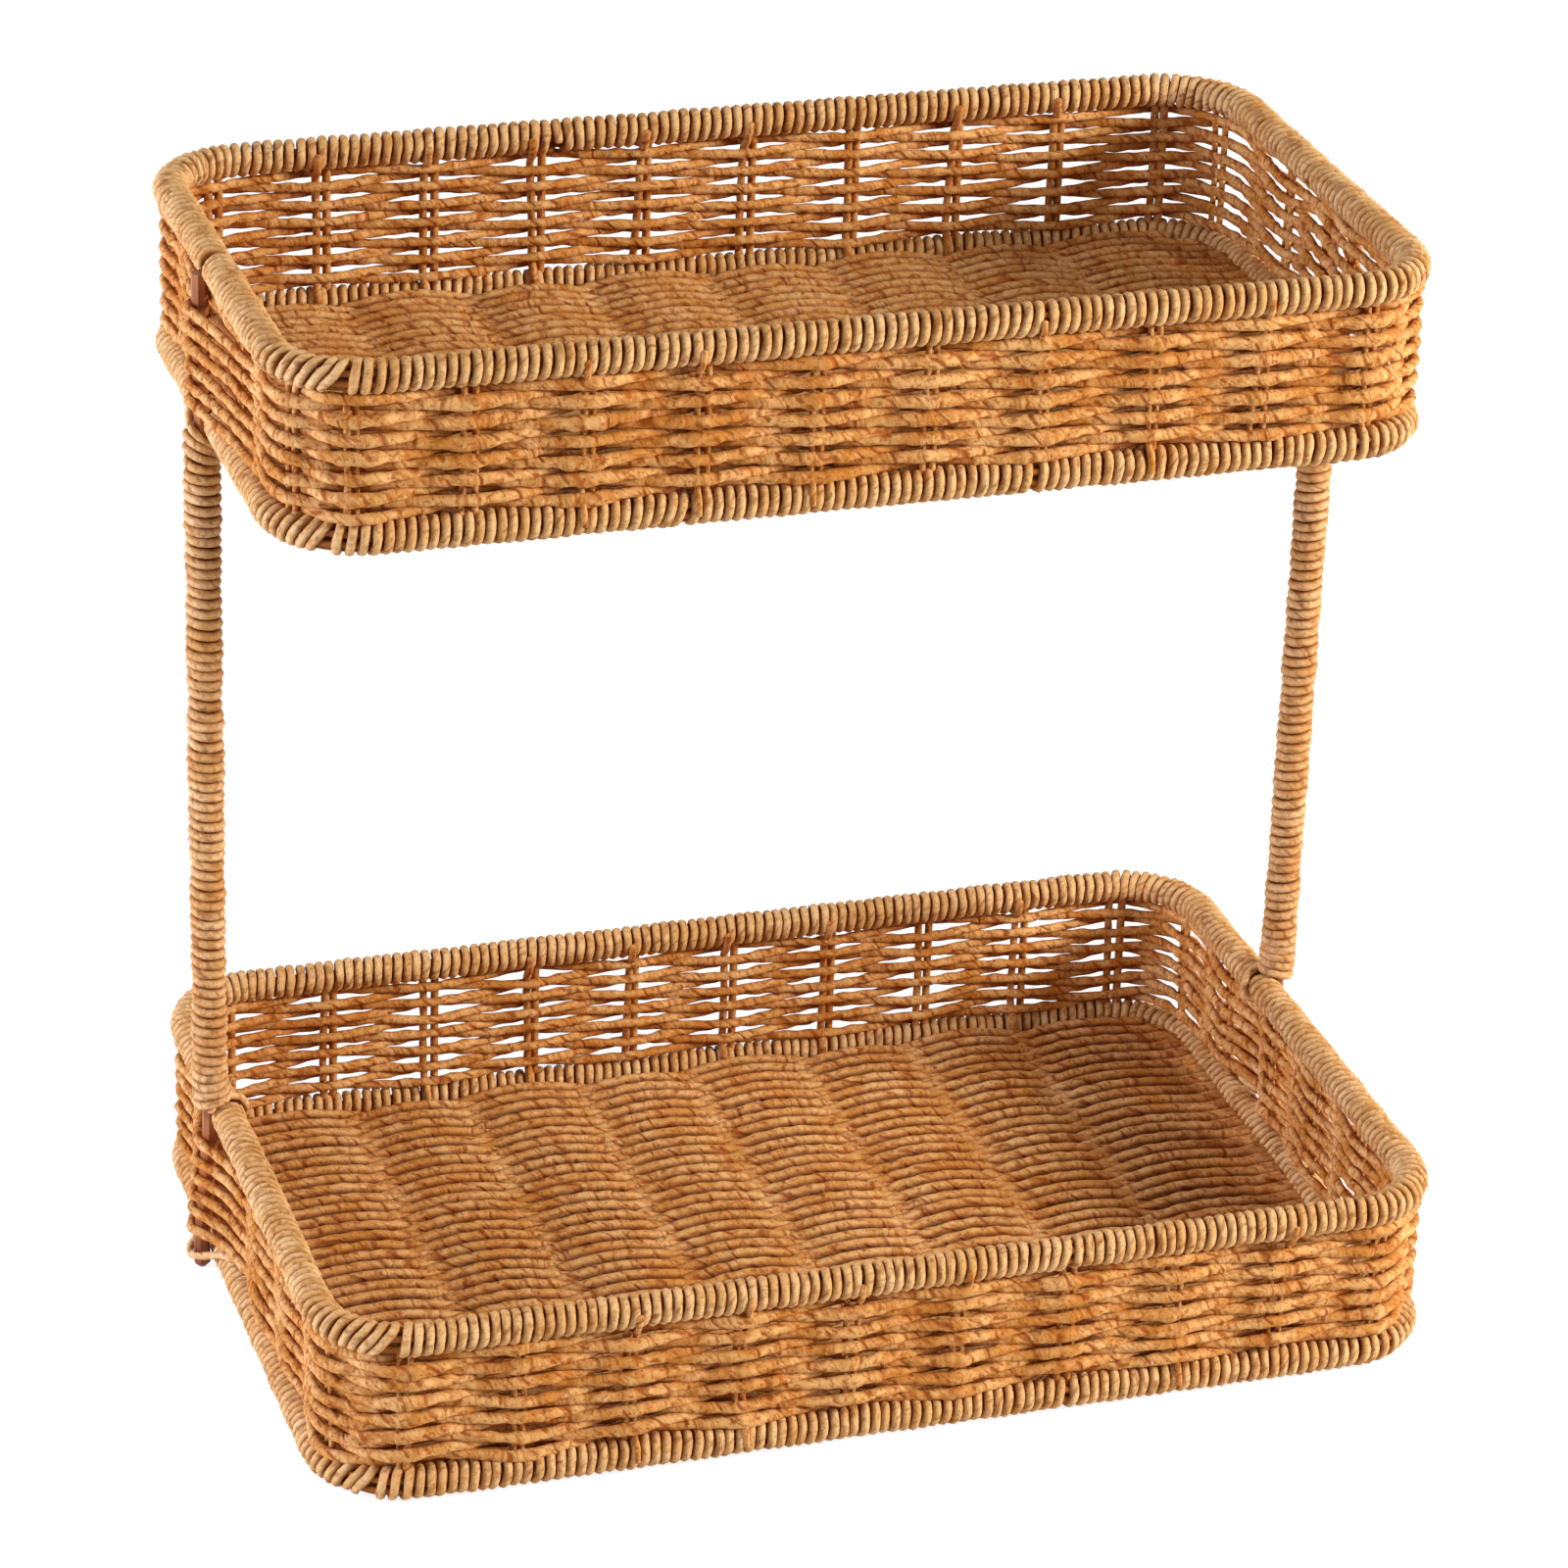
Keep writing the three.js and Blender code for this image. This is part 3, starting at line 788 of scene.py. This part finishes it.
def stake_legs(tubes, tray, at, wire, side, facing):
    """A stake's two legs. On the long sides the second may hook over the rim and the base ring."""
    rng = tubes.rng
    # Legs facing into the tray are painted partly in shade
    radius, deep = LEG_CORD[facing] / 2, LEG_SHADE[facing]
    z = np.linspace(tray.base + 1 * MM, tray.rim - 1 * MM, LEG_POINTS)
    x, y = (np.full(LEG_POINTS, part) for part in wire)
    points = np.stack([x, y, z], -1)
    outward = tray.normal(np.full(LEG_POINTS, at))
    tubes.add(points, outward, radius, LEG_TINT, deep=deep, plain=True)

    may_hook = abs(tray.normal(at)[1]) > 0.99
    below = HOOKED_END if may_hook and rng.random() < HOOKED_AT_BASE else PLAIN_END
    above = (HOOKED_END if may_hook and rng.random() < HOOKED_AT_RIM else PLAIN_END)[::-1]
    outs = np.array([out for out, _ in below + above]) * MM * facing
    heights = [tray.base + rise * MM for _, rise in below] + [tray.rim - drop * MM for _, drop in above]
    z = np.linspace(heights[0], heights[-1], SECOND_LEG_POINTS)
    out = np.interp(z, heights, outs)
    out[1:-1] = (out[:-2] + out[1:-1] + out[2:]) / 3
    tilt = rng.normal(0, LEG_WANDER) * (z - z.mean()) / (z[-1] - z[0]) * 2
    s = at + side * (LEG_SPREAD + max(-MOST_NEARER, rng.normal(0, LEG_WANDER))) + tilt
    s = s + LEG_BEND * np.sin(z / LEG_BEND_RUN + rng.random() * PHASES)
    outward = tray.normal(s) * facing
    tubes.add(tray.place(s, out, z), outward, radius * SECOND_THINNER, LEG_TINT, deep=deep)


# Floors


def weave_floor(tray):
    """A floor's cords, from the front to the back."""
    tubes = Tubes(TRAY_SEEDS[tray.name] + PIECE_SEEDS["floor"])
    rng = tubes.rng
    half = tray.half_y - WRAP_REACH - FLOOR_CORD / 2
    phases = rng.random(len(RIBS)) * 2 * math.pi
    knots = np.array([-tray.half_x, *RIBS, tray.half_x])
    for row, y in enumerate(np.linspace(-half, half, round(2 * half / FLOOR_PITCH) + 1)):
        reach = edge(tray.half_x - FLOOR_TUCK, tray.half_y - FLOOR_TUCK, y)
        steps = round(2 * reach / FLOOR_STEP)
        x = np.linspace(-reach, reach, steps)
        side = np.where((np.arange(len(RIBS)) + row) % 2 == 0, 1, -1)
        rise = np.concatenate([[0], side * FLOOR_REACH, [0]])
        bow = FLOOR_WAVE * np.sin(y / FLOOR_WAVE_RUN + phases) * math.cos(math.pi * y / (2 * half) * 0.95)
        shift = np.concatenate([[0], bow + rng.normal(0, FLOOR_SHIFT, len(RIBS)), [0]])
        z = smooth_between(x, knots, rise)
        slip = smooth_between(x, knots, shift)
        points = np.stack([x, tray.middle + y + slip, tray.base + z], -1)
        outward = np.tile(UP, (steps, 1))
        tint = MEAN_TINT + TINT_SPREAD * np.sin(x / TINT_RUN + rng.random() * PHASES) * rng.random()
        tubes.add(points, outward, FLOOR_CORD / 2, tint, deep=shade_in_floor, lie=z / FLOOR_REACH)
    name = f"{tray.name}_floor"
    tubes.finish(f"{name}_cords", floor_paper, "floor_cord", math.pi * FLOOR_CORD, f"{name}_weave")


# Posts


def post_helix(side, low, high, flare, snug, rng):
    """A cord wound on a post. The first turns lie low outside and wide over the rim; the last ones tilt."""
    turns = round((high - low + POST_DROP) / POST_PITCH)
    t = np.linspace(0, turns, round(turns * TURN_POINTS) + 1)
    beat = np.arange(turns + 2)
    angle = math.pi / 2 + 2 * math.pi * t * side
    outside = side * np.cos(angle)
    fade = np.clip(1 - t / DROPPED_TURNS, 0, 1)
    z = high - (turns - t) * POST_PITCH + POST_DROP / 2 * fade * (1 - outside)
    z = z + np.interp(t, beat, rng.normal(0, POST_WANDER, len(beat)))
    z = z + POST_TILT * outside * ramp(t, turns - TILTED_TURNS, turns - 0.5)
    reach = snug + (flare - snug) * ramp(-z, -low - FLARE_RISE, -low) * (1 - outside) / 2
    reach = reach + np.interp(t, beat, rng.normal(0, POST_SWELL, len(beat)).clip(*POST_SWELL_RANGE))
    away = np.stack([np.cos(angle), np.sin(angle), np.zeros_like(angle)], -1)
    points = np.array([side * POST_X, POST_Y, 0]) + away * reach[:, None]
    points[:, 2] += z
    return points, away, np.interp(t, beat, rng.random(len(beat)))


def wind_post(side, name):
    """A post's winding, the flared binding at its lower end, and its tie at the upper base ring."""
    low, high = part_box(f"{name}_post_binding")
    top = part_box(f"{name}_post_wrap")[1].z - POST_CORD / 2 + POST_TILT
    flare = (high.x - low.x) / 2 - POST_CORD / 2
    snug = (POST_ROD + POST_CORD) / 2
    girth = math.pi * POST_CORD

    tubes = Tubes(POST_SEEDS[name])
    points, away, tint = post_helix(side, low.z + POST_CORD / 2, top, flare, snug, tubes.rng)
    parting = int(np.searchsorted(points[:, 2], high.z))
    tubes.add(points[parting:], away[parting:], POST_CORD / 2, tint[parting:], pressed=PRESSED)
    tubes.finish(f"{name}_post_winding", post_paper, "post_cord", girth, f"{name}_post_wrap")

    tubes = Tubes(POST_SEEDS[name] + 1)
    until = parting + 1
    tubes.add(points[:until], away[:until], POST_CORD / 2, tint[:until], pressed=PRESSED)
    over_slit(tubes, side)
    under_foot(tubes, side)
    tubes.finish(f"{name}_post_flare", post_paper, "post_cord", girth, f"{name}_post_binding")

    tubes = Tubes(POST_SEEDS[name] + 2)
    tie(tubes, side)
    tubes.finish(f"{name}_post_tie", wrap_paper, "post_cord", girth, f"{name}_post_lashing")


def over_slit(tubes, side):
    """The end of a post's cord, which crosses the slit over the lower rim and is tucked in behind."""
    part = np.linspace(0, 1, SLIT_POINTS)
    angle = np.radians(SLIT_FROM + SLIT_ROUND * part)
    reach = WRAP_REACH + LOOSE_CORD / 2 - SLIT_TUCK * ramp(part, 0.8, 1)
    s = lower.post(side) + SLIT_BEFORE - (SLIT_BEFORE + SLIT_AFTER) * part
    points, outward = round_ring(lower, lower.rim, s, angle, reach)
    tubes.add(points, outward, LOOSE_CORD / 2, SLIT_TINT, deep=0)


def under_foot(tubes, side):
    """The lowest cord of a wall, which dips to cross the outside of a rod close to its foot."""
    run = np.linspace(-FOOT_ARM, FOOT_ARM, FOOT_POINTS)
    bump = (1 + np.cos(math.pi * run / FOOT_ARM)) / 2
    clasp = rod_out(lower.base) + (POST_ROD + LOOSE_CORD) / 2
    out = FOOT_START + (clasp - FOOT_START) * bump
    z = lower.base + WRAP_REACH - FOOT_DROP * bump
    s = lower.post(side) + run
    tubes.add(lower.place(s, out, z), lower.normal(s), LOOSE_CORD / 2, FOOT_TINT, deep=0)


def tie(tubes, side):
    """A cord that goes round the upper base ring and slants across the outside of the rod there."""
    loop = rounded_loop(MM * np.array(TIE), TIE_STEPS)
    at = upper.post(side)
    points = upper.place(at + loop[:, 0], loop[:, 1], upper.base + loop[:, 2])
    middle = upper.place(np.array([at]), POST_OUT / 2, upper.base)
    tubes.add(points, points - middle, LOOSE_CORD / 2, closed=True, deep=0)


# Materials


def linear(colour):
    """A colour written in 8-bit sRGB, as the shader takes it."""
    parts = [c / 255 for c in colour]
    return (*(p / 12.92 if p <= 0.04045 else ((p + 0.055) / 1.055) ** 2.4 for p in parts), 1)


def grey(value):
    return (value, value, value, 1)


class Shader:
    """Short names for the nodes of one material or world."""

    def __init__(self, owner):
        owner.use_nodes = True
        self.owner = owner
        self.tree = owner.node_tree
        self.tree.nodes.clear()

    def node(self, kind, inputs=None, **settings):
        node = self.tree.nodes.new("ShaderNode" + kind)
        for key, value in settings.items():
            setattr(node, key, value)
        for key, value in (inputs or {}).items():
            if isinstance(value, bpy.types.NodeSocket):
                self.tree.links.new(value, node.inputs[key])
            else:
                node.inputs[key].default_value = value
        return node

    def math(self, operation, *values, clamp=False):
        inputs = dict(enumerate(values))
        return self.node("Math", inputs, operation=operation, use_clamp=clamp).outputs[0]

    def noise(self, vector, scale, detail=2.0, roughness=0.5):
        inputs = {"Vector": vector, "Scale": scale, "Detail": detail, "Roughness": roughness}
        return self.node("TexNoise", inputs).outputs["Fac"]

    def between(self, value, low, high, to_low=0.0, to_high=1.0):
        inputs = {"Value": value, "From Min": low, "From Max": high, "To Min": to_low, "To Max": to_high}
        return self.node("MapRange", inputs, interpolation_type="SMOOTHSTEP").outputs["Result"]

    def blend(self, factor, first, second):
        inputs = {0: factor, 6: first, 7: second}
        return self.node("Mix", inputs, data_type="RGBA").outputs[2]

    def seen(self):
        """1 where the eye looks, directly or by way of a mirror or glass, and 0 where light bounces."""
        path = self.node("LightPath")
        seen = self.math("ADD", path.outputs["Is Camera Ray"], path.outputs["Is Glossy Ray"], clamp=True)
        return self.math("ADD", seen, path.outputs["Is Transmission Ray"], clamp=True)

    def output(self, surface, kind="OutputMaterial"):
        self.node(kind, {"Surface": surface})
        return self.owner


def paper_cord(name, pale, mid, dark, stain_and_shade, marks, hidden):
    """Twisted paper: streaks and creases along the twist, mottled, with painted shade where it lies hidden.

    marks is how strong streaks, creases and specks are, and hidden how strong the painted shade is.
    """
    sh = Shader(bpy.data.materials.new(name))
    # The darkest colour marks the specks and the seam, and is the colour of the painted shade too
    pale, mid, dark, stain_and_shade = (linear(colour) for colour in (pale, mid, dark, stain_and_shade))
    strand = sh.node("SeparateXYZ", {0: sh.node("UVMap", uv_map="Strand").outputs[0]})
    around, along = strand.outputs[0], strand.outputs[1]
    tint = sh.node("Attribute", attribute_name="tint").outputs["Fac"]
    deep = sh.node("Attribute", attribute_name="deep").outputs["Fac"]
    place = sh.node("TexCoord").outputs["Object"]

    # The twist, with fibres along it and a seam that comes and goes
    pitch = CENTIMETRE / TWIST_LENGTH
    uneven = sh.math("MULTIPLY", sh.noise(place, scale=70, detail=1), 2.2)
    twist = sh.math("ADD", sh.math("MULTIPLY_ADD", along, pitch, around), uneven)
    fibre_place = sh.node("CombineXYZ", {
        0: sh.math("MULTIPLY", twist, 6.0),
        1: sh.math("MULTIPLY", along, 2.0),
        2: sh.math("MULTIPLY", tint, 3.0),
    }).outputs[0]
    fibres = sh.noise(fibre_place, scale=1, detail=3, roughness=0.65)
    from_seam = sh.math("ABSOLUTE", sh.math("SUBTRACT", sh.math("FRACT", twist), 0.5))
    broken = sh.between(sh.noise(place, scale=190, detail=1), 0.44, 0.6)
    seam = sh.math("MULTIPLY", sh.between(from_seam, 0.0, 0.2, 0.85, 0), broken)

    # Colour: pale and mid tones in patches; over them fibres, seam, specks, and painted shade where hidden
    mottle = sh.noise(place, scale=330, detail=4, roughness=0.7)
    cloud = sh.noise(place, scale=60)
    speck = sh.between(sh.noise(place, scale=560), 0.56, 0.66)
    tone = sh.math("ADD", sh.math("MULTIPLY", mottle, 1.2), sh.math("MULTIPLY_ADD", tint, 0.25, cloud))
    colour = sh.blend(sh.between(tone, 0.95, 1.5), mid, pale)
    colour = sh.blend(sh.between(fibres, 0.45, 0.72, 0, 0.9 * marks), colour, dark)
    colour = sh.blend(sh.math("MULTIPLY", seam, marks), colour, stain_and_shade)
    colour = sh.blend(sh.math("MULTIPLY", speck, 0.6 * marks), colour, stain_and_shade)
    # Painted shade: darkened towards the darkest colour where the surface lies hidden from light
    colour = sh.blend(sh.math("MULTIPLY", deep, hidden, clamp=True), colour, stain_and_shade)

    # Relief, and a dry surface
    height = sh.math("MULTIPLY_ADD", fibres, -0.7, sh.math("MULTIPLY", seam, -1.0))
    height = sh.math("MULTIPLY_ADD", mottle, 1.1, height)
    bump = sh.node("Bump", {"Strength": 0.9, "Distance": 0.4 * MM * marks, "Height": height})
    rough = sh.between(fibres, 0.3, 0.8, 0.6, 0.8)
    surface = sh.node("BsdfPrincipled", {
        "Base Color": colour, "Roughness": rough, "Normal": bump.outputs[0], "Specular IOR Level": 0.12,
    })
    return sh.output(surface.outputs[0])


def painted_wire():
    """Dark brown paint with a fine grain, a little uneven in tone and gloss."""
    sh = Shader(bpy.data.materials.new("painted_wire"))
    place = sh.node("TexCoord").outputs["Object"]
    cloud = sh.noise(place, scale=60, detail=3)
    grain = sh.noise(place, scale=900)
    colour = sh.blend(sh.between(cloud, 0.35, 0.7), linear((172, 100, 48)), linear((128, 66, 26)))
    bump = sh.node("Bump", {"Strength": 0.3, "Distance": 0.1 * MM, "Height": grain})
    rough = sh.between(cloud, 0.3, 0.7, 0.38, 0.52)
    surface = sh.node("BsdfPrincipled", {
        "Base Color": colour, "Roughness": rough, "Normal": bump.outputs[0], "Metallic": 0.15,
    })
    return sh.output(surface.outputs[0])


def white_ground():
    """A pale floor that reads as white to the eye and keeps the object's shadow."""
    sh = Shader(bpy.data.materials.new("white_ground"))
    shade = sh.node("BsdfDiffuse", {"Color": grey(GROUND_GREY)})
    glow = sh.node("Emission", {"Strength": GROUND_GLOW})
    both = sh.node("AddShader", {0: shade.outputs[0], 1: glow.outputs[0]})
    paint = sh.node("BsdfDiffuse", {"Color": grey(GROUND_PAINT)})
    surface = sh.node("MixShader", {0: sh.seen(), 1: paint.outputs[0], 2: both.outputs[0]})
    return sh.output(surface.outputs[0])


# Scene


def lamp(name, place, size, power, colour=(1, 1, 1)):
    """A round soft light, turned to the object."""
    light = bpy.data.lights.new(name, "AREA")
    light.shape = "DISK"
    light.size = size
    light.energy = power
    light.color = colour
    holder = bpy.data.objects.new(name, light)
    holder.location = place
    aim = Vector(LOOK_AT) - Vector(place)
    holder.rotation_euler = aim.to_track_quat("-Z", "Y").to_euler()
    bpy.context.scene.collection.objects.link(holder)


def light_scene():
    """A world that is white to the eye and lights the object weakly, a key lamp and a cool fill."""
    world = bpy.data.worlds.new("studio")
    bpy.context.scene.world = world
    sh = Shader(world)
    strength = sh.between(sh.seen(), 0, 1, WORLD_STRENGTH, 1)
    background = sh.node("Background", {"Color": WHITE, "Strength": strength})
    sh.output(background.outputs[0], "OutputWorld")
    lamp("key", place=(1.76, -1.01, 1.09), size=0.8, power=64)
    lamp("fill_left", place=(-2.1, 0.1, 0.65), size=1.0, power=49, colour=(0.9, 1.0, 1.3))


def lay_ground():
    half = GROUND_HALF
    mesh = bpy.data.meshes.new("ground")
    corners = [(-half, -half, 0), (half, -half, 0), (half, half, 0), (-half, half, 0)]
    mesh.from_pydata(corners, [], [(0, 1, 2, 3)])
    mesh.materials.append(white_ground())
    ground = bpy.data.objects.new("ground", mesh)
    ground.location.z = -GROUND_DROP
    bpy.context.scene.collection.objects.link(ground)


def aim_camera():
    """A camera with the photograph's place, turn and lens."""
    yaw, pitch, roll = (math.radians(a) for a in (YAW, PITCH, ROLL))
    back = Vector((math.sin(yaw) * math.cos(pitch), -math.cos(yaw) * math.cos(pitch), math.sin(pitch)))
    right = (-back).cross(Vector((0, 0, 1))).normalized()
    up = right.cross(-back)
    x = right * math.cos(roll) + up * math.sin(roll)
    y = up * math.cos(roll) - right * math.sin(roll)
    camera = bpy.data.cameras.new("camera")
    camera.sensor_width = SENSOR
    camera.lens = LENS
    holder = bpy.data.objects.new("camera", camera)
    turn = Matrix((x, y, back)).transposed().to_4x4()
    holder.matrix_world = Matrix.Translation(Vector(LOOK_AT) + back * DISTANCE) @ turn
    bpy.context.scene.collection.objects.link(holder)
    bpy.context.scene.camera = holder


wrap_paper = paper_cord(
    "wrap_paper", pale=(238, 194, 134), mid=(217, 163, 97), dark=(182, 116, 50), stain_and_shade=(144, 74, 12),
    marks=0.7, hidden=0.9,
)
# The weave's paper is darker and more orange than the winding's, partly as painted shade and bounced light
wall_paper = paper_cord(
    "wall_paper", pale=(233, 178, 110), mid=(199, 128, 54), dark=(170, 90, 18), stain_and_shade=(148, 64, 0),
    marks=1.0, hidden=0.6,
)
floor_paper = paper_cord(
    "floor_paper", pale=(226, 174, 110), mid=(202, 136, 64), dark=(170, 92, 24), stain_and_shade=(134, 50, 0),
    marks=0.9, hidden=0.8,
)
post_paper = paper_cord(
    "post_paper", pale=(240, 194, 136), mid=(216, 156, 90), dark=(178, 110, 44), stain_and_shade=(134, 64, 6),
    marks=0.65, hidden=0.95,
)
paint = painted_wire()
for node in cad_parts.values():
    node.data.materials.clear()
    node.data.materials.append(paint)

for tray in (lower, upper):
    wind_rings(tray)
    weave_wall(tray)
    weave_floor(tray)
for side, name in ((-1, "left"), (1, "right")):
    wind_post(side, name)

lay_ground()
light_scene()
aim_camera()
bpy.context.scene.view_settings.view_transform = "Standard"
